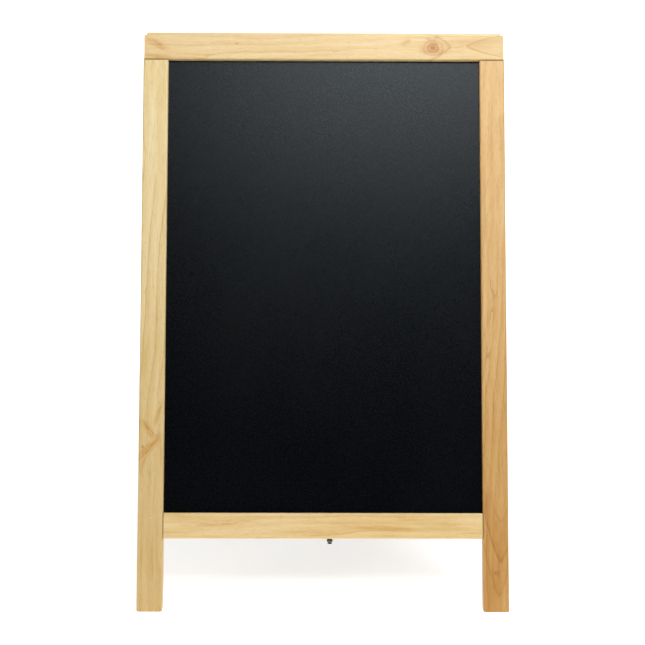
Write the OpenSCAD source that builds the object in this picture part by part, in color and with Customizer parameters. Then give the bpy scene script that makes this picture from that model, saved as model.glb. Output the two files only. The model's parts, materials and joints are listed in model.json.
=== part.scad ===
// Folding pavement chalkboard: two hinged timber frames held open by a folding steel stay.
// Z is up, the front looks along -Y and the ground is Z = 0. All sizes are in millimetres.

/* [Frames] */
// Width over the stiles
board_w = 550; // [450:5:660]
// Length of the outer face from the top edge to the ground
frame_l = 870; // [700:10:1050]
// Lean of each frame from upright when the board is open, in degrees
lean = 20; // [14:1:24]
// Timber thickness
timber_t = 22; // [20:1:30]
// Width of each stile
stile_w = 38; // [34:1:60]
// Height of the top rail
top_rail_h = 39; // [38:1:60]
// Height of the bottom rail
bottom_rail_h = 38; // [36:1:60]
// Leg below the bottom rail, along the outer face
leg_l = 107; // [80:1:160]
// How far each stile stands proud of the top rail's end
stile_proud = 1; // [0:0.5:3]
// Radius of the eased long edges
edge_r = 2.5; // [1:0.5:4]
// Gap between the two frames when they are folded
frame_gap = 10; // [10:0.5:14]

/* [Chalk panel] */
// Panel thickness
panel_t = 3.2; // [2.5:0.1:5]
// Depth of the panel's face behind the outer face of the frame
panel_recess = 8.5; // [5:0.5:10]
// Depth of the groove round the opening
groove_d = 8; // [5:0.5:9]
// Clearance between the panel and each wall of its groove
panel_fit = 0.2; // [0.1:0.05:0.5]
// Clearance between the panel's edge and the floor of its groove
panel_edge_fit = 0.5; // [0.3:0.1:1]

/* [Dowels] */
// Dowel diameter
dowel_d = 8; // [6:0.5:8]
// Dowel length
dowel_l = 40; // [30:1:44]
// Radial clearance of a dowel in its hole
dowel_fit = 0.05; // [0.02:0.01:0.1]
// Clearance at each end of a dowel
dowel_end_fit = 0.5; // [0.3:0.1:1]
// Timber left between the panel groove and the nearest dowel
dowel_land = 2.5; // [1.5:0.5:4]
// Timber left between a dowel and the outer edge
dowel_edge = 5; // [3:0.5:6]

/* [Hinges] */
// Distance of each hinge from the middle of the board
hinge_x = 170; // [100:5:180]
// Hinge width
hinge_w = 50; // [40:1:70]
// Height of a hinge leaf below the pin
leaf_h = 28; // [26:1:30]
// Thickness of a hinge leaf
leaf_t = 1.5; // [1.2:0.1:2]
// Hinge pin diameter
pin_d = 3; // [2.5:0.1:3.5]
// Radial clearance of the pin in its knuckles
pin_fit = 0.05; // [0.02:0.01:0.1]
// Depth of the pin's axis below the top edge of the frames
pin_drop = 5; // [4.5:0.5:6]
// End gap between neighbouring knuckles
knuckle_gap = 0.2; // [0.1:0.05:0.4]
// Diameter of a hinge screw's shank
screw_d = 3.5; // [3:0.1:4]
// Length of a hinge screw
screw_l = 16; // [12:1:18]
// Diameter of a hinge screw's head
screw_head_d = 7; // [6.5:0.1:7.5]
// Clearance of a screw in the holes cut for it
screw_fit = 0.05; // [0.02:0.01:0.1]

/* [Stay] */
// Distance of the stay from the middle of the board
stay_x = 10; // [0:1:20]
// Distance of the stay screw from the inner face of its rail
stay_inset = 6; // [6:0.5:8]
// Thickness of the flat links
link_t = 1.5; // [1.2:0.1:2]
// Width of the flat links
link_w = 7; // [5:0.5:7]
// Diameter of the eye at a link's screw end
eye_d = 9; // [8:0.5:10]
// Vertical gap between the two links at the rivet
link_gap = 0.2; // [0.1:0.05:0.4]
// Diameter of the screws' plain neck
neck_d = 4; // [3.5:0.1:4.5]
// Diameter of the stay screws' heads
head_d = 6.5; // [6.5:0.1:8]
// Height of the stay screws' heads
head_h = 2.4; // [2:0.1:3]
// Depth of the stay screw in the rail
stay_screw_l = 20; // [14:1:24]
// Diameter of the loose ring above the front eye
ring_d = 8; // [7.5:0.1:9]
// Thickness of the loose ring
ring_t = 0.8; // [0.6:0.1:1]
// Clearance of the tilting parts above and below
stay_clear = 0.25; // [0.2:0.05:0.4]
// Diameter of the rivet that joins the links
rivet_d = 3.2; // [3:0.1:3.5]
// Diameter of the rivet's heads
rivet_head_d = 6; // [5:0.5:6.5]
// Height of the rivet's heads
rivet_head_h = 1; // [0.8:0.1:1.2]
// Radial clearance of the rivet and the stud in a link
rivet_fit = 0.05; // [0.02:0.01:0.1]
// Diameter of the bush let into the back rail
bush_d = 9; // [8:0.5:10]
// Length of the bush
bush_l = 12; // [8:1:16]

/* [Hidden] */

$fn = 48;
// Flats in each eased edge
edge_steps = 5;
// Overrun of a cut past the face that it opens
cut = 1;
// Timber colours, panel colour and steel colour
timber = "burlywood";
timber_dark = "tan";
slate = "#1c2024";
steel = "silver";

// Faces of the front frame, measured from the pin with the frame upright
inner_y = -frame_gap / 2;
outer_y = inner_y - timber_t;
rail_top_z = pin_drop;
open_top_z = rail_top_z - top_rail_h;
underside_z = rail_top_z - frame_l + leg_l;
open_bottom_z = underside_z + bottom_rail_h;
open_w = board_w - 2 * stile_w;
dowel_y = outer_y + timber_t / 2;
stile_x = open_w / 2;
// Height of the hinge pins above the ground
pin_z = (frame_l - pin_drop) * cos(lean) + outer_y * sin(lean);

// Dowel places across a stile and down a bottom rail, from the edge that has the groove
first_dowel = groove_d + dowel_d / 2 + dowel_land;
stile_dowels = [first_dowel, stile_w - dowel_d / 2 - dowel_edge];
rail_dowels = [first_dowel, bottom_rail_h - dowel_d / 2 - dowel_edge];

// Hinge: the knuckles run a little into their own leaf
knuckle_bite = 0.3;
knuckle_clear = 0.3;
knuckle_r = frame_gap / 2 - leaf_t + knuckle_bite;
knuckle_n = 5;
knuckle_w = hinge_w / knuckle_n;
web_t = 2;
pin_head_r = pin_d / 2 + 0.8;
pin_head_h = 1;
hinge_screws = [[-0.32, -0.46], [0, -0.75], [0.32, -0.46]];
recess_w = 0.9;
recess_l = 3.6;
recess_h = 0.8;

// Stay: the screws' places, measured from the pin with the frame upright
screw_y = inner_y - stay_inset;
link_drop = ring_d / 2 * sin(lean) + (link_t / 2 + ring_t) * cos(lean) + stay_clear;
head_drop = link_drop + eye_d / 2 * sin(lean) + link_t / 2 * cos(lean) + stay_clear;
eye_hole_d = neck_d / cos(lean) + link_t * tan(lean) + stay_clear;
layer = link_t + link_gap;
// The links' pivots in the open board
pivot_y = screw_y * cos(lean) + (underside_z - link_drop) * sin(lean);
pivot_z = pin_z - screw_y * sin(lean) + (underside_z - link_drop) * cos(lean);
link_l = -pivot_y;
// Room above the stud, under the leaning rail
stud_top = link_drop / cos(lean) - stay_clear - neck_d / 2 * tan(lean) + layer;

// Outline of a bar with eased edges, as points round a rectangle from the origin
function eased(w, h) = [
    for (c = [[w - edge_r, h - edge_r, 0], [edge_r, h - edge_r, 90],
              [edge_r, edge_r, 180], [w - edge_r, edge_r, 270]])
        for (i = [0 : edge_steps])
            let (a = c[2] + i * 90 / edge_steps)
                [c[0] + edge_r * cos(a), c[1] + edge_r * sin(a)]
];

// Places a child, drawn upright about the pin, on the leaning front or back frame
module on_front() {
    translate([0, 0, pin_z]) rotate([-lean, 0, 0]) children();
}

module on_back() {
    mirror([0, 1, 0]) on_front() children();
}

// Takes away what lies under the ground
module above_ground() {
    difference() {
        children();
        translate([-board_w, -frame_l, -frame_l]) cube([2 * board_w, 2 * frame_l, frame_l]);
    }
}

// Bar along X between two ends, with its foot at z
module rail_bar(x0, x1, z, h) {
    translate([x0, outer_y, z]) rotate([90, 0, 90])
        linear_extrude(height = x1 - x0) polygon(eased(timber_t, h));
}

// Space that the panel needs, larger by one clearance on its faces and another on its edges
module panel_block(face_fit, edge_fit) {
    w = open_w + 2 * (groove_d - panel_edge_fit + edge_fit);
    z0 = open_bottom_z - groove_d + panel_edge_fit - edge_fit;
    z1 = open_top_z + groove_d - panel_edge_fit + edge_fit;
    translate([-w / 2, outer_y + panel_recess - face_fit, z0])
        cube([w, panel_t + 2 * face_fit, z1 - z0]);
}

// All eight dowels of a frame, or their holes
module dowel_set(fit, end_fit) {
    r = dowel_d / 2 + fit;
    l = dowel_l + 2 * end_fit;
    for (side = [-1, 1]) {
        for (d = stile_dowels)
            translate([side * (stile_x + d), dowel_y, open_top_z - l / 2]) cylinder(r = r, h = l);
        for (d = rail_dowels)
            translate([side * stile_x - l / 2, dowel_y, open_bottom_z - d])
                rotate([0, 90, 0]) cylinder(r = r, h = l);
    }
}

// Countersunk hinge screw pointing into the frame from the leaf's face, or its hole
module hinge_screw(fit) {
    r = screw_d / 2 + fit;
    head_r = screw_head_d / 2 + fit;
    rotate([90, 0, 0]) {
        cylinder(r = r, h = screw_l + fit);
        cylinder(r1 = head_r, r2 = r, h = head_r - r);
    }
}

// Places a child at each screw of a hinge
module at_hinge_screws() {
    for (p = hinge_screws)
        translate([p[0] * hinge_w, inner_y + leaf_t, p[1] * leaf_h]) children();
}

module hinge_holes() {
    for (side = [-1, 1]) translate([side * hinge_x, 0, 0]) at_hinge_screws() hinge_screw(screw_fit);
}

// Screws of one hinge, with their cross recesses
module hinge_screw_set(x) {
    translate([x, 0, 0]) at_hinge_screws() difference() {
        hinge_screw(0);
        for (a = [0, 90]) rotate([0, a, 0])
            translate([-recess_l / 2, -recess_h, -recess_w / 2]) cube([recess_l, recess_h + cut, recess_w]);
    }
}

// One leaf with its knuckles; first is 0 for the outer three knuckles and 1 for the inner two
module hinge_leaf(x, first) {
    other = 1 - first;
    translate([x - hinge_w / 2, 0, 0]) difference() {
        union() {
            translate([0, inner_y, -leaf_h]) cube([hinge_w, leaf_t, leaf_h]);
            for (i = [first : 2 : knuckle_n - 1]) translate([i * knuckle_w + knuckle_gap / 2, 0, 0]) {
                rotate([0, 90, 0]) cylinder(r = knuckle_r, h = knuckle_w - knuckle_gap);
                translate([0, inner_y + leaf_t / 2, -knuckle_r])
                    cube([knuckle_w - knuckle_gap, leaf_t / 2 + web_t, knuckle_r]);
            }
        }
        for (i = [other : 2 : knuckle_n - 1])
            translate([i * knuckle_w - knuckle_gap / 2, 0, 0])
                rotate([0, 90, 0]) cylinder(r = knuckle_r + knuckle_clear, h = knuckle_w + knuckle_gap);
        translate([-cut, 0, 0]) rotate([0, 90, 0])
            cylinder(r = pin_d / 2 + pin_fit, h = hinge_w + 2 * cut);
        translate([hinge_w / 2, 0, 0]) at_hinge_screws() hinge_screw(screw_fit);
    }
}

module hinge_pin(x) {
    translate([x - hinge_w / 2, 0, pin_z]) rotate([0, 90, 0]) {
        cylinder(d = pin_d, h = hinge_w);
        translate([0, 0, -pin_head_h]) cylinder(r = pin_head_r, h = pin_head_h);
        translate([0, 0, hinge_w]) cylinder(r = pin_head_r, h = pin_head_h);
    }
}

// Timber pieces, drawn upright about the pin
module top_rail_shape() {
    end_x = board_w / 2 - stile_proud;
    difference() {
        rail_bar(-end_x, end_x, open_top_z, top_rail_h);
        panel_block(panel_fit, panel_edge_fit);
        dowel_set(dowel_fit, dowel_end_fit);
        hinge_holes();
    }
}

module bottom_rail_shape() {
    difference() {
        rail_bar(-stile_x, stile_x, underside_z, bottom_rail_h);
        panel_block(panel_fit, panel_edge_fit);
        dowel_set(dowel_fit, dowel_end_fit);
        children();
    }
}

module stile_shape(side) {
    x0 = side < 0 ? -board_w / 2 : stile_x;
    spare = timber_t * tan(lean) + cut;
    length = frame_l - top_rail_h + spare;
    difference() {
        translate([x0, outer_y, open_top_z - length])
            linear_extrude(height = length) polygon(eased(stile_w, timber_t));
        panel_block(panel_fit, panel_edge_fit);
        dowel_set(dowel_fit, dowel_end_fit);
    }
}

// Flat link from its eye at the origin to its rivet end along Y
module link_shape(hole_d, rivet_r) {
    difference() {
        union() {
            cylinder(d = eye_d, h = link_t, center = true);
            translate([-link_w / 2, 0, -link_t / 2]) cube([link_w, link_l, link_t]);
            translate([0, link_l, 0]) cylinder(d = link_w, h = link_t, center = true);
        }
        cylinder(d = hole_d, h = link_t + 2 * cut, center = true);
        translate([0, link_l, 0]) cylinder(r = rivet_r, h = link_t + 2 * cut, center = true);
    }
}

// Cross-recessed round head hanging below z = 0
module screw_head() {
    difference() {
        translate([0, 0, -head_h]) cylinder(d = head_d, h = head_h);
        for (a = [0, 90]) rotate([0, 0, a])
            translate([-recess_l / 2, -recess_w / 2, -head_h - cut]) cube([recess_l, recess_w, recess_h + cut]);
    }
}

// Front frame
module front_top_rail() { color(timber) on_front() top_rail_shape(); }
module front_left_stile() { color(timber) above_ground() on_front() stile_shape(-1); }
module front_right_stile() { color(timber) above_ground() on_front() stile_shape(1); }
module front_bottom_rail() {
    color(timber) on_front() bottom_rail_shape()
        translate([stay_x, screw_y, underside_z - cut])
            cylinder(r = neck_d / 2 + screw_fit, h = stay_screw_l + cut + screw_fit);
}
module front_chalk_panel() { color(slate) on_front() panel_block(0, 0); }
module front_dowels() { color(timber_dark) on_front() dowel_set(0, 0); }

// Back frame
module back_top_rail() { color(timber) on_back() top_rail_shape(); }
module back_left_stile() { color(timber) above_ground() on_back() stile_shape(-1); }
module back_right_stile() { color(timber) above_ground() on_back() stile_shape(1); }
module back_bottom_rail() {
    color(timber) on_back() bottom_rail_shape()
        translate([stay_x, screw_y, underside_z - cut])
            cylinder(r = bush_d / 2 + screw_fit, h = bush_l + cut);
}
module back_chalk_panel() { color(slate) on_back() panel_block(0, 0); }
module back_dowels() { color(timber_dark) on_back() dowel_set(0, 0); }

// Hinges
module left_hinge_front_leaf() { color(steel) on_front() hinge_leaf(-hinge_x, 0); }
module left_hinge_back_leaf() { color(steel) on_back() hinge_leaf(-hinge_x, 1); }
module left_hinge_pin() { color(steel) hinge_pin(-hinge_x); }
module left_hinge_front_screws() { color(steel) on_front() hinge_screw_set(-hinge_x); }
module left_hinge_back_screws() { color(steel) on_back() hinge_screw_set(-hinge_x); }
module right_hinge_front_leaf() { color(steel) on_front() hinge_leaf(hinge_x, 0); }
module right_hinge_back_leaf() { color(steel) on_back() hinge_leaf(hinge_x, 1); }
module right_hinge_pin() { color(steel) hinge_pin(hinge_x); }
module right_hinge_front_screws() { color(steel) on_front() hinge_screw_set(hinge_x); }
module right_hinge_back_screws() { color(steel) on_back() hinge_screw_set(hinge_x); }

// Stay
module front_stay_screw() {
    color(steel) on_front() translate([stay_x, screw_y, underside_z]) {
        translate([0, 0, -head_drop]) cylinder(d = neck_d, h = head_drop + stay_screw_l);
        translate([0, 0, -head_drop]) screw_head();
    }
}
module front_stay_ring() {
    color(steel) translate([stay_x, pivot_y, pivot_z + link_t / 2]) difference() {
        cylinder(d = ring_d, h = ring_t);
        translate([0, 0, -cut])
            cylinder(d = eye_hole_d + 2 * ring_t * tan(lean), h = ring_t + 2 * cut);
    }
}
module front_stay_link() {
    color(steel) translate([stay_x, pivot_y, pivot_z]) link_shape(eye_hole_d, rivet_d / 2);
}
module stay_rivet() {
    color(steel) translate([stay_x, 0, pivot_z]) {
        translate([0, 0, -layer - link_t / 2]) cylinder(d = rivet_d, h = layer + link_t);
        translate([0, 0, link_t / 2]) cylinder(d = rivet_head_d, h = rivet_head_h);
        translate([0, 0, -layer - link_t / 2 - link_gap - rivet_head_h])
            cylinder(d = rivet_head_d, h = rivet_head_h);
        translate([0, 0, -layer - link_t / 2 - link_gap]) cylinder(d = rivet_d, h = link_gap);
    }
}
module rear_stay_link() {
    color(steel) translate([stay_x, -pivot_y, pivot_z - layer]) rotate([0, 0, 180])
        link_shape(neck_d, rivet_d / 2 + rivet_fit);
}
module back_stay_stud() {
    color(steel) translate([stay_x, -pivot_y, pivot_z - layer]) {
        translate([0, 0, -link_t / 2]) cylinder(d = neck_d, h = link_t / 2 + stud_top);
        translate([0, 0, -link_t / 2]) screw_head();
    }
}
module back_stay_bush() {
    color(steel) on_back() translate([stay_x, screw_y, underside_z]) cylinder(d = bush_d, h = bush_l);
}

front_top_rail();
front_left_stile();
front_right_stile();
front_bottom_rail();
front_chalk_panel();
front_dowels();
back_top_rail();
back_left_stile();
back_right_stile();
back_bottom_rail();
back_chalk_panel();
back_dowels();
left_hinge_front_leaf();
left_hinge_back_leaf();
left_hinge_pin();
left_hinge_front_screws();
left_hinge_back_screws();
right_hinge_front_leaf();
right_hinge_back_leaf();
right_hinge_pin();
right_hinge_front_screws();
right_hinge_back_screws();
front_stay_screw();
front_stay_ring();
front_stay_link();
stay_rivet();
rear_stay_link();
back_stay_stud();
back_stay_bush();
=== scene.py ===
"""Folding pavement chalkboard: finishes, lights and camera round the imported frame."""
import json
import math

import bpy
import numpy as np
from mathutils import Matrix, Vector


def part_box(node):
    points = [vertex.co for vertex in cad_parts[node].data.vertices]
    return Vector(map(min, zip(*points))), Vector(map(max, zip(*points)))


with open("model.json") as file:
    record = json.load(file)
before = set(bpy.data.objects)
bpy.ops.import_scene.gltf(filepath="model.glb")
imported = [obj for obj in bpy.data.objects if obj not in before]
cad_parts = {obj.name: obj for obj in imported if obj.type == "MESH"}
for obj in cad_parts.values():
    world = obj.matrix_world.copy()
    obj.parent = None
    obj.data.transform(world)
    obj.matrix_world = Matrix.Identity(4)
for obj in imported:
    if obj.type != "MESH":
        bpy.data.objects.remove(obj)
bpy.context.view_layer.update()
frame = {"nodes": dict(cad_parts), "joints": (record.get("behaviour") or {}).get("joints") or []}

# ---------------------------------------------------------------- sizes from the frame
FOLD = next(j for j in frame["joints"] if j["name"] == "fold")
PIN = Vector(FOLD["pos_m"])                      # middle of the hinge line
LEAN = -math.radians(FOLD["range_deg"][0]) / 2   # lean of each frame from upright
BOARD_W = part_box("front_left_stile")[0].x * -2   # width over the stiles
MM = 0.001


# ---------------------------------------------------------------- shader maths
class Value:
    """A socket that carries a number, with Python's operators as Math nodes."""

    def __init__(self, shader, socket):
        self.shader, self.socket = shader, socket

    def math(self, operation, *others):
        return self.shader.node("ShaderNodeMath", {"operation": operation}, {0: self, **{
            i + 1: other for i, other in enumerate(others)}})

    def __add__(self, other):
        return self.math("ADD", other)

    def __radd__(self, other):
        return self.math("ADD", other)

    def __sub__(self, other):
        return self.math("SUBTRACT", other)

    def __rsub__(self, other):
        return (self * -1) + other

    def __mul__(self, other):
        return self.math("MULTIPLY", other)

    def __rmul__(self, other):
        return self.math("MULTIPLY", other)

    def __truediv__(self, other):
        return self.math("DIVIDE", other)

    def __pow__(self, other):
        return self.math("POWER", other)

    def __abs__(self):
        return self.math("ABSOLUTE")

    def clamp(self):
        """The number kept between 0 and 1."""
        return self.math("MAXIMUM", 0.0).math("MINIMUM", 1.0)

    def step(self, low, high):
        """0 at low and 1 at high, smoothly; low may be the larger."""
        t = ((self - low) / (high - low)).clamp()
        return t * t * (3.0 - 2.0 * t)


class Nodes:
    """A node tree, and the one method that adds to it."""

    def __init__(self, tree):
        self.tree = tree

    def find(self, kind):
        """The tree's own node of one kind."""
        return next(n for n in self.tree.nodes if n.type == kind)

    def node(self, kind, settings=None, inputs=None, output=0):
        """Adds a node: its settings first, then a value or a link for each input."""
        made = self.tree.nodes.new(kind)
        for key, value in (settings or {}).items():
            setattr(made, key, value)
        for key, value in (inputs or {}).items():
            if isinstance(value, Value):
                self.tree.links.new(value.socket, made.inputs[key])
            else:
                made.inputs[key].default_value = value
        return Value(self, made.outputs[output])


class Shader(Nodes):
    """One node-based material on a Principled surface."""

    def __init__(self, name, **constants):
        self.material = bpy.data.materials.new(name)
        self.material.use_nodes = True
        super().__init__(self.material.node_tree)
        self.surface = self.find("BSDF_PRINCIPLED")
        for key, value in constants.items():
            self.surface.inputs[key.replace("_", " ")].default_value = value

    def split(self, vector):
        """The three numbers of a vector."""
        first = self.node("ShaderNodeSeparateXYZ", {}, {0: vector})
        return [Value(self, output) for output in first.socket.node.outputs]

    def join(self, x, y, z):
        return self.node("ShaderNodeCombineXYZ", {}, {0: x, 1: y, 2: z})

    def place(self, turn=0.0, about=Vector((0, 0, 0))):
        """Object coordinates, measured from a point and turned about X into a frame's own axes."""
        shift = -(Matrix.Rotation(turn, 3, "X") @ about)
        coordinates = self.node("ShaderNodeTexCoord", {}, {}, "Object")
        return self.node("ShaderNodeMapping", {"vector_type": "POINT"},
                         {"Vector": coordinates, "Location": shift, "Rotation": (turn, 0.0, 0.0)})

    def noise(self, vector, scale, detail, rough):
        """Fractal noise about 0.5."""
        return self.node("ShaderNodeTexNoise", {"noise_dimensions": "3D"}, {
            "Vector": vector, "Scale": scale, "Detail": detail, "Roughness": rough})

    def mix(self, factor, low, high, blend="MIX"):
        """One colour over another."""
        return self.node("ShaderNodeMix", {"data_type": "RGBA", "blend_type": blend},
                         {0: factor, 6: low, 7: high}, 2)

    def bump(self, height, distance, strength):
        return self.node("ShaderNodeBump", {}, {
            "Height": height, "Distance": distance, "Strength": strength})

    def feed(self, key, value):
        self.tree.links.new(value.socket, self.surface.inputs[key])


def srgb(*levels):
    """Linear colour from three 0 to 255 display levels."""
    return tuple((v / 255 / 12.92) if v <= 10 else ((v / 255 + 0.055) / 1.055) ** 2.4 for v in levels)


def tint(colour):
    """An opaque colour with the fourth number that a colour socket takes."""
    return (*colour, 1.0)


# ---------------------------------------------------------------- timber
KNOT_STRETCH = 1.25      # a knot is this much longer along the grain than across it
RING_RATE = 4.6          # how fast a knot's rings follow each other, in radians per core radius
ARCH_LINE = 11 * MM      # how far along the bar an arch's line fades out
MARK_COVER = 0.90        # how much of a mark's stain reaches the wood


def knot_marks(run, over, warp, knots):
    """Darkness of a bar's knots. The distance from a knot's middle, in core radii and warped by
    noise, gives the core where it is small, and rings where its sine is high. Also returns how far
    the knots push the bar's own rings aside."""
    dark, push = None, 0.0
    for place, across, radius, strength, reach in knots:
        dr, do = (run - place) / (radius * KNOT_STRETCH), (over - across) / radius
        away = (dr * dr + do * do) ** 0.5 * ((warp - 0.5) * 0.9 + 1.0)
        core = away.step(1.15, 0.45)
        rings = ((away * RING_RATE + 1.0).math("SINE") * 0.5 + 0.5) ** 2.0
        loops = rings * away.step(reach, reach * 0.35)
        halo = away.step(reach * 1.3, 0.2)
        mark = (core * 0.85 + loops * 0.60 + halo * 0.26) * strength
        dark = mark if dark is None else dark.math("MAXIMUM", mark)
        near = away.step(reach * 1.6, 0.3)
        push = near * near * radius * 2.4 + push
    return dark, push


def arch_marks(run, over, warp, patch, arches):
    """Darkness of cathedral arches: lines that are sharp on one side and faint in patches. One
    starts wherever the distance past the tip, less a power of the distance from the middle, is a
    whole number of spacings."""
    dark = None
    for place, across, side, curve, spacing, reach, strength in arches:
        past = (run - place) * side - abs(over - across) ** 1.5 * curve + (warp - 0.5) * 0.022
        turn = (past / spacing).math("FRACT")
        inside = past.step(-0.0008, 0.0002) * past.step(reach, reach * 0.25)
        line = (turn * spacing).step(ARCH_LINE, 0.0) * inside
        glow = past.step(-0.002, 0.004) * past.step(reach, 0.0) * 0.20
        mark = (line * patch.step(0.30, 0.60) * 0.80 + glow) * strength
        dark = mark if dark is None else dark.math("MAXIMUM", mark)
    return dark


def flare_marks(shader, run, over, seed, flares):
    """Darkness of slanting amber flares: streaky noise inside a turned ellipse."""
    dark = None
    for place, across, angle, length, width, strength in flares:
        c, s = math.cos(angle), math.sin(angle)
        dr, do = run - place, over - across
        u, v = dr * c + do * s, do * c - dr * s
        streaks = shader.noise(shader.join(u * 14.0, v * 150.0 + seed, 0.0), 3.0, 3.0, 0.6)
        inside = abs(u).step(length, length * 0.2) * abs(v).step(width, width * 0.1)
        mark = inside * (0.35 + streaks.step(0.38, 0.62)) * strength
        dark = mark if dark is None else dark.math("MAXIMUM", mark)
    return dark


def timber(name, side, along, tones, heart, slope, pitch, seed,
           knots=(), arches=(), flares=(), nicks=(), joint_shades=(), foot_shade=0.0, contrast=1.0):
    """Satin-lacquered hardwood. The rings are distances from a slanting pith line beside the bar,
    warped by slow noise; soft bands and a few thin lines follow them, under fine fibres, short
    pores and cloudy tone. Cut ends are darker."""
    shader = Shader(name, Specular_IOR_Level=0.45)
    spot = shader.place(side * LEAN, PIN)
    x, y, z = shader.split(spot)
    run, over = (x, z) if along == "X" else (z, x)
    deep = y * -side
    wander = shader.noise(shader.join(run * 1.1, over * 4.0, deep * 4.0 + seed), 2.6, 2.0, 0.5)
    sway = shader.noise(shader.join(run * 4.0, over * 14.0 + seed, deep * 14.0), 3.0, 3.0, 0.55)
    dark, push = knot_marks(run, over, sway, knots) if knots else (None, 0.0)
    a = over - heart[0] - run * slope + (wander - 0.5) * 0.050
    b = deep - heart[1] + (sway - 0.5) * 0.014
    ring = (a * a + b * b) ** 0.5 + push
    wave = ring / pitch
    band = (wave * (2 * math.pi)).math("SINE") * 0.5 + 0.5
    turn = wave.math("FRACT")
    patch = shader.noise(shader.join(run * 2.2, over * 9.0, deep * 9.0 + seed * 2.0), 2.4, 3.0, 0.55)
    line = turn.step(0.16, 0.02) * turn.step(0.0, 0.02) * patch.step(0.44, 0.62)
    cloud = shader.noise(shader.join(run * 3.0 + seed, over * 12.0, deep * 12.0), 2.2, 3.0, 0.6)
    streak = shader.noise(shader.join(run * 3.5, over * 60.0 + seed, deep * 60.0), 3.0, 4.0, 0.6)
    fibre = shader.noise(shader.join(run * 22.0, over * 330.0, deep * 330.0 + seed), 3.0, 3.0, 0.65)
    pore = shader.noise(shader.join(run * 60.0, over * 700.0, deep * 700.0 + seed), 2.0, 1.0, 0.5)
    pores = pore.step(0.64, 0.74)
    pale, mid, amber = tones
    figure = band * 0.35 + cloud.step(0.30, 0.70) * 0.45 + streak.step(0.30, 0.70) * 0.35
    base = shader.mix(figure.clamp(), tint(pale), tint(mid))
    base = shader.mix((line * 0.55 + streak.step(0.56, 0.78) * 0.50) * contrast, base, tint(amber))
    base = shader.mix(cloud.step(0.56, 0.78) * 0.26 * contrast, base, tint(amber))
    base = shader.mix(fibre.step(0.36, 0.66) * 0.24, base, tint(tuple(c * 0.74 for c in mid)))
    base = shader.mix(pores * 0.34, base, tint(tuple(c * 0.50 for c in amber)))
    marks = []
    if flares:
        marks.append((flare_marks(shader, run, over, seed, flares), AMBER_STAIN))
    if arches:
        marks.append((arch_marks(run, over, sway, patch, arches), KNOT_BROWN))
    if knots:
        marks.append((dark, KNOT_BROWN))
    for mark, colour in marks:
        base = shader.mix(mark.clamp() * MARK_COVER, base, tint(colour), "MULTIPLY")
    for place, across, radius in nicks:
        dr, do = run - place, over - across
        nick = ((dr * dr + do * do) ** 0.5).step(radius, radius * 0.4)
        base = shader.mix(nick, base, tint(NICK_WHITE))
    # Painted shade: the bar grows darker towards its foot, standing in for the overhead light falling
    # off down the stile.
    if foot_shade:
        base = shader.mix((run * -1.0).step(0.10, 0.95) * foot_shade, base, tint(PAINTED_FOOT_SHADE), "MULTIPLY")
    # Painted shade: a dark line across the bar where it meets another, standing in for the shade in
    # the joint's crease.
    for place, half in joint_shades:
        base = shader.mix(abs(run - place).step(half, half * 0.5) * 0.75, base, tint(PAINTED_JOINT_SHADE))
    facing = shader.node("ShaderNodeTexCoord", {}, {}, "Normal")
    grain_axis = (1.0, 0.0, 0.0) if along == "X" else (0.0, -side * math.sin(LEAN), math.cos(LEAN))
    end = shader.node("ShaderNodeVectorMath", {"operation": "DOT_PRODUCT"},
                      {0: facing, 1: grain_axis}, "Value")
    cut = abs(end).step(0.70, 0.86)
    base = shader.mix(cut * 0.45, base, tint(tuple(c * 0.55 for c in amber)))
    shader.feed("Base Color", base)
    shader.feed("Roughness", 0.40 + (fibre - 0.5) * 0.22 + pores * 0.12 + cut * 0.18)
    height = fibre * 0.55 + streak * 0.3 - pores * 0.7
    shader.feed("Normal", shader.bump(height, 0.00030, 0.6))
    return shader.material


LEFT_TONES = (srgb(250, 229, 180), srgb(238, 209, 144), srgb(210, 164, 86))
RIGHT_TONES = (srgb(240, 203, 142), srgb(223, 176, 106), srgb(190, 134, 68))
RAIL_TONES = (srgb(244, 217, 164), srgb(231, 196, 131), srgb(209, 160, 88))
AMBER_STAIN = (0.80, 0.56, 0.25)                 # what is left of the wood's colour under a flare
KNOT_BROWN = (0.68, 0.41, 0.16)                  # and under a knot's or an arch's line
PAINTED_FOOT_SHADE = (0.70, 0.58, 0.42)                        # and at the foot of a stile, where painted shade darkens it
NICK_WHITE = srgb(250, 246, 232)                 # a chip in the lacquer
PAINTED_JOINT_SHADE = srgb(104, 70, 34)                   # painted shade in the crease of a joint between two bars
STILE_W = 38 * MM                                # width of a stile
TOP_SEAM = 34 * MM                               # the joint under the top rail, below the hinge line
SEAM_HALF = 1.0 * MM                             # half the width of a joint's painted shade line
STILE_TOP = ((-TOP_SEAM, SEAM_HALF),)
RAIL_ENDS = ((STILE_W - BOARD_W / 2, SEAM_HALF), (BOARD_W / 2 - STILE_W, SEAM_HALF))
STILE_MID = (BOARD_W - STILE_W) / 2

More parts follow.
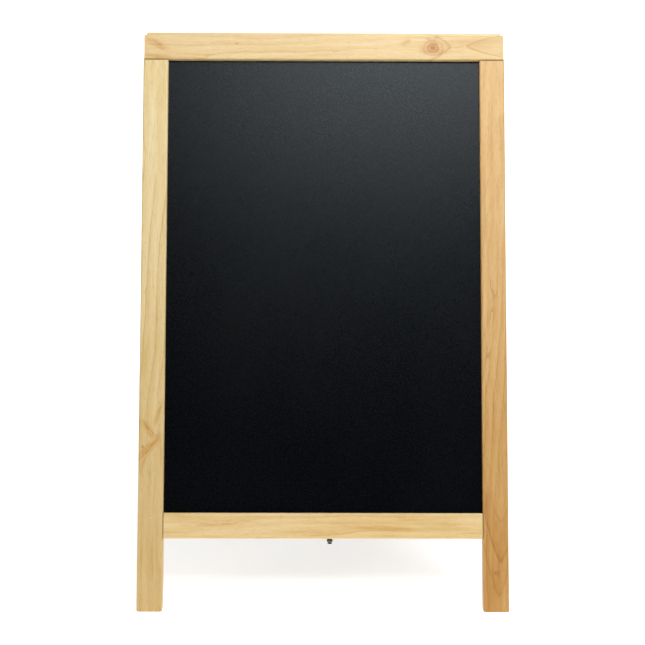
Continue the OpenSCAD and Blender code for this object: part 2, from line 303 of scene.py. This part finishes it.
# Each bar's pith, slope, ring pitch and marks, in metres from the hinge line.
# Knots: place, across, core radius, strength, reach in radii.
# Arches: tip, middle, side, curve, spacing, reach, strength.
# Flares: place, across, angle, half length, half width, strength. Nicks: place, across, radius.
TIMBERS = {
    "front_top_rail": dict(
        along="X", tones=RAIL_TONES, heart=(-0.030, 0.045), slope=0.05, pitch=0.011, seed=3.1,
        knots=((0.1660, -0.0150, 0.0040, 1.10, 4.2), (-0.1330, -0.0090, 0.0013, 0.7, 2.4)),
        arches=((0.2165, -0.0120, 1, 25.0, 0.085, 0.080, 0.65),
                (0.1970, -0.0130, -1, 11.0, 0.060, 0.016, 0.55)),
        flares=((-0.2560, -0.0085, -0.50, 0.030, 0.0080, 0.75),
                (-0.2600, -0.0290, -0.10, 0.032, 0.0070, 0.55),
                (0.1240, -0.0070, 0.50, 0.012, 0.0060, 0.65),
                (0.1640, -0.0150, 0.00, 0.022, 0.0130, 0.60)),
        contrast=0.90),
    "front_bottom_rail": dict(
        along="X", tones=RAIL_TONES, heart=(-0.800, 0.050), slope=0.04, pitch=0.012, seed=7.7,
        flares=((-0.150, -0.7350, 0.08, 0.080, 0.0060, 0.50),
                (0.085, -0.7420, -0.06, 0.090, 0.0060, 0.42)),
        joint_shades=RAIL_ENDS, contrast=1.1),
    "front_left_stile": dict(
        along="Z", tones=LEFT_TONES, heart=(-STILE_MID - 0.040, 0.045),
        slope=0.015, pitch=0.013, seed=11.3,
        knots=((-0.6225, -0.2686, 0.0013, 1.25, 1.9),),
        flares=((-0.6225, -0.2577, 0.72, 0.034, 0.0090, 0.95),
                (-0.5967, -0.2600, -0.65, 0.024, 0.0080, 0.80),
                (-0.5730, -0.2460, 0.30, 0.026, 0.0060, 0.60),
                (-0.6480, -0.2680, 0.30, 0.022, 0.0040, 0.55)),
        nicks=((-0.7280, -0.2557, 0.0014),), joint_shades=STILE_TOP, foot_shade=0.78, contrast=1.1),
    "front_right_stile": dict(
        along="Z", tones=RIGHT_TONES, heart=(STILE_MID + 0.010, 0.036),
        slope=0.045, pitch=0.010, seed=17.9,
        knots=((-0.8080, 0.2550, 0.0022, 0.55, 3.2),),
        arches=((-0.7950, 0.2630, 1, 20.0, 0.060, 0.110, 0.75),
                (-0.8420, 0.2600, 1, 22.0, 0.040, 0.030, 0.50),
                (-0.1150, 0.2720, -1, 16.0, 0.046, 0.150, 0.50)),
        joint_shades=STILE_TOP, foot_shade=0.85, contrast=1.2),
    "back_top_rail": dict(
        along="X", tones=RAIL_TONES, heart=(-0.050, 0.050), slope=-0.04, pitch=0.012, seed=23.2,
        knots=((-0.085, -0.0170, 0.0028, 0.8, 3.0),), contrast=0.8),
    "back_bottom_rail": dict(
        along="X", tones=RAIL_TONES, heart=(-0.720, 0.050), slope=0.03, pitch=0.010, seed=29.5,
        knots=((0.090, -0.7420, 0.0030, 0.8, 3.2),), joint_shades=RAIL_ENDS, contrast=0.85),
    "back_left_stile": dict(
        along="Z", tones=RIGHT_TONES, heart=(-STILE_MID + 0.010, 0.040),
        slope=0.03, pitch=0.010, seed=31.4,
        arches=((-0.4200, -0.2540, 1, 18.0, 0.050, 0.160, 0.5),),
        joint_shades=STILE_TOP, foot_shade=0.4, contrast=0.9),
    "back_right_stile": dict(
        along="Z", tones=LEFT_TONES, heart=(STILE_MID + 0.034, 0.036),
        slope=-0.025, pitch=0.012, seed=37.6,
        knots=((-0.3600, 0.2500, 0.0026, 0.8, 3.2),), joint_shades=STILE_TOP, foot_shade=0.5, contrast=0.7),
}


def dress(node, material):
    """Gives a carried-over piece its finish."""
    data = frame["nodes"][node].data
    data.materials.clear()
    data.materials.append(material)


for node, facts in TIMBERS.items():
    facing = 1.0 if node.startswith("front") else -1.0
    dress(node, timber(node + "_timber", facing, **facts))


def dowel_wood():
    """Plain beech with fine end-grain specks."""
    shader = Shader("dowel_beech", Roughness=0.6)
    spot = shader.noise(shader.place(), 900.0, 2.0, 0.6)
    shader.feed("Base Color", shader.mix(spot, tint(srgb(206, 170, 122)), tint(srgb(176, 136, 90))))
    return shader.material


# ---------------------------------------------------------------- chalk panel
TOOTH_SCALE = 900.0      # the surface's finest grain, which chalk catches on
MOTTLE_SCALE = 420.0     # the orange peel above it
CLOUD_SCALE = 5.5        # wiping marks about a hand wide


def chalk_panel(name, side):
    """Satin black writing surface: a fine orange-peel tooth, cloudy wiping marks and a trace of
    chalk dust."""
    shader = Shader(name, Specular_IOR_Level=0.21, Specular_Tint=(0.84, 0.94, 1.0, 1.0))
    spot = shader.place(side * LEAN, PIN)
    x, y, z = shader.split(spot)
    tooth = shader.noise(spot, TOOTH_SCALE, 3.0, 0.62)
    mottle = shader.noise(spot, MOTTLE_SCALE, 3.0, 0.65)
    cloud = shader.noise(shader.join(x, y, z * 0.7), CLOUD_SCALE, 3.0, 0.55)
    dust = mottle.step(0.42, 0.75) * 0.6 + cloud.step(0.3, 0.75) * 0.4
    shader.feed("Base Color", shader.mix(dust, tint(srgb(1, 2, 5)), tint(srgb(6, 8, 11))))
    shader.feed("Roughness", 0.280 + (cloud - 0.5) * 0.06 + (mottle - 0.5) * 0.18)
    shader.feed("Normal", shader.bump(tooth * 0.6 + mottle * 0.4, 0.00028, 0.45))
    return shader.material


for facing, end in ((1.0, "front"), (-1.0, "back")):
    dress(end + "_chalk_panel", chalk_panel(end + "_chalk_surface", facing))
    dress(end + "_dowels", dowel_wood())


# ---------------------------------------------------------------- steel
def plated(name, bright, dark, rough, seed):
    """Zinc-plated steel: crystals of two greys, fine rolling lines and dull handled patches."""
    shader = Shader(name, Metallic=1.0)
    spot = shader.place()
    x, y, z = shader.split(spot)
    patch = shader.noise(shader.join(x, y, z + seed), 160.0, 3.0, 0.6)
    lines = shader.noise(shader.join(x * 60.0, y * 4.0, z * 60.0), 30.0, 2.0, 0.6)
    shader.feed("Base Color", shader.mix(patch.step(0.3, 0.7), tint(bright), tint(dark)))
    shader.feed("Roughness", rough + (patch - 0.5) * 0.25 + (lines - 0.5) * 0.10)
    shader.feed("Normal", shader.bump(lines * 0.5 + patch * 0.5, 0.0001, 0.35))
    return shader.material


hinge_steel = plated("hinge_zinc", srgb(206, 206, 200), srgb(160, 160, 152), 0.34, 1.0)
screw_steel = plated("screw_zinc", srgb(214, 206, 180), srgb(170, 158, 128), 0.36, 2.0)
stay_steel = plated("stay_zinc", srgb(128, 132, 124), srgb(84, 88, 80), 0.40, 3.0)
for node in frame["nodes"]:
    if "stay" in node:
        dress(node, stay_steel)
    elif node.endswith("screws"):
        dress(node, screw_steel)
    elif "hinge" in node:
        dress(node, hinge_steel)


# ---------------------------------------------------------------- stage, lights and camera
def sweep():
    """Pale floor that curves up into a backdrop: a straight run, a quarter circle and a rise."""
    half, near, far, bend, top = 7.0, -1.05, 4.0, 1.5, 6.0     # metres
    angle = np.linspace(0.0, math.pi / 2, 24)
    y = np.concatenate([[near], far + bend * np.sin(angle), [far + bend]])
    z = np.concatenate([[0.0], bend - bend * np.cos(angle), [top]])
    rows = len(y)
    points = np.zeros((rows, 2, 3))
    points[:, 0, 0], points[:, 1, 0] = -half, half
    points[:, :, 1], points[:, :, 2] = y[:, None], z[:, None]
    first = np.arange(rows - 1) * 2
    faces = np.stack([first, first + 1, first + 3, first + 2], 1)
    data = bpy.data.meshes.new("floor_sweep")
    data.from_pydata(points.reshape(-1, 3).tolist(), [], faces.tolist())
    data.shade_smooth()
    floor = bpy.data.objects.new("floor_sweep", data)
    bpy.context.scene.collection.objects.link(floor)
    shader = Shader("pale_floor_and_painted_glow", Roughness=0.9)
    spot = shader.place()
    speck = shader.noise(spot, 3.0, 2.0, 0.5)
    shader.feed("Base Color", shader.mix(speck, (0.93, 0.93, 0.93, 1), (0.95, 0.95, 0.95, 1)))
    x, y, z = shader.split(spot)
    away = (x * x + y * y + z * z) ** 0.5          # painted light: the floor's glow grows away from the board
    # Painted light: the floor glows though it is no lamp, at 0.72 near the board and fully white far
    # off, and so also lights the board from below.
    glow = shader.mix(away.step(0.8, 2.4), (0.72, 0.72, 0.72, 1), (1, 1, 1, 1))
    shader.feed("Emission Color", glow)
    shader.surface.inputs["Emission Strength"].default_value = 1.0
    data.materials.append(shader.material)


def soft_light(name, place, aim, width, height, power):
    """Rectangular soft box that looks from place towards aim."""
    data = bpy.data.lights.new(name, "AREA")
    data.shape, data.size, data.size_y = "RECTANGLE", width, height
    data.energy = power
    lamp = bpy.data.objects.new(name, data)
    lamp.location = place
    lamp.rotation_mode = "QUATERNION"
    lamp.rotation_quaternion = (Vector(aim) - Vector(place)).to_track_quat("-Z", "Y")
    bpy.context.scene.collection.objects.link(lamp)


def camera():
    """Camera a little above the top edge, turned down towards the middle of the front."""
    stand, down, turn, roll, lens = (-0.0176, -2.593, 1.014), 14.18, 0.382, -0.243, 92.86
    data = bpy.data.cameras.new("camera")
    data.lens, data.sensor_width = lens, 36.0
    data.clip_start, data.clip_end = 0.05, 50.0
    eye = bpy.data.objects.new("camera", data)
    turned = (Matrix.Rotation(math.radians(-turn), 4, "Z")
              @ Matrix.Rotation(math.radians(90.0 - down), 4, "X")
              @ Matrix.Rotation(math.radians(-roll), 4, "Z"))
    eye.matrix_world = Matrix.Translation(stand) @ turned
    bpy.context.scene.collection.objects.link(eye)
    bpy.context.scene.camera = eye


def surroundings(level):
    """Dim even room light, with a plain white backdrop wherever the stage ends."""
    world = bpy.data.worlds.new("room")
    bpy.context.scene.world = world
    world.use_nodes = True
    air = Nodes(world.node_tree)
    room = air.find("BACKGROUND")
    room.inputs["Color"].default_value = (level, level, level, 1)
    white = air.node("ShaderNodeBackground", {}, {"Color": (1, 1, 1, 1)})
    seen = air.node("ShaderNodeLightPath", {}, {}, "Is Camera Ray")
    either = air.node("ShaderNodeMixShader", {}, {0: seen, 1: Value(air, room.outputs[0]), 2: white})
    air.tree.links.new(either.socket, air.find("OUTPUT_WORLD").inputs["Surface"])


sweep()
surroundings(0.04)
soft_light("overhead_box", (0.60, -1.15, 2.55), (0.1, -0.15, 0.5), 1.8, 1.0, 41.0)
soft_light("front_high", (0.45, -2.9, 3.0), (0.0, 0.0, 0.75), 1.6, 0.7, 35.0)
soft_light("left_fill", (-3.2, -2.0, 2.4), (0.0, 0.0, 0.5), 1.4, 1.2, 12.0)
soft_light("back_fill", (1.2, 3.0, 2.6), (0.0, 0.0, 0.5), 2.0, 1.4, 30.0)
camera()
bpy.context.scene.view_settings.view_transform = "Standard"
